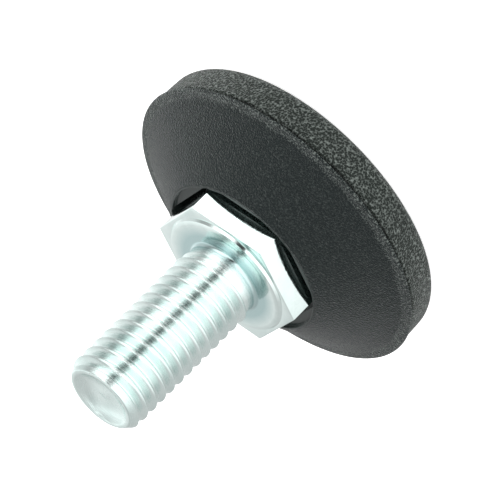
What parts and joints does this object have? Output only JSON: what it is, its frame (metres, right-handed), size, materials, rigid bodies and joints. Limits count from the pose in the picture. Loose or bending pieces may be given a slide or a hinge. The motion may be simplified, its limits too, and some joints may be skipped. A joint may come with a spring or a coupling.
{
  "type": "furniture leveling foot",
  "caption": "Threaded leveling foot: a zinc-plated hexagon bolt held in a black plastic cone, with a separate rounded sole under it.",
  "frame": {"origin": "middle of the sole's underside, on the bolt's axis", "axes": "+Z along the bolt's axis, from the sole towards the threaded tip; +X towards one corner of the hexagon"},
  "size_m": [0.0384, 0.0384, 0.0343],
  "materials": {
    "sole": "coarse matte grain, dark grey",
    "base_body": "fine moulded grain, black",
    "bolt": "bright zinc plating with a pale blue tint"
  },
  "bodies": {
    "root": {"sole": "sole", "base_body": "base_body", "hex_bolt": "bolt"}
  },
  "joints": []
}
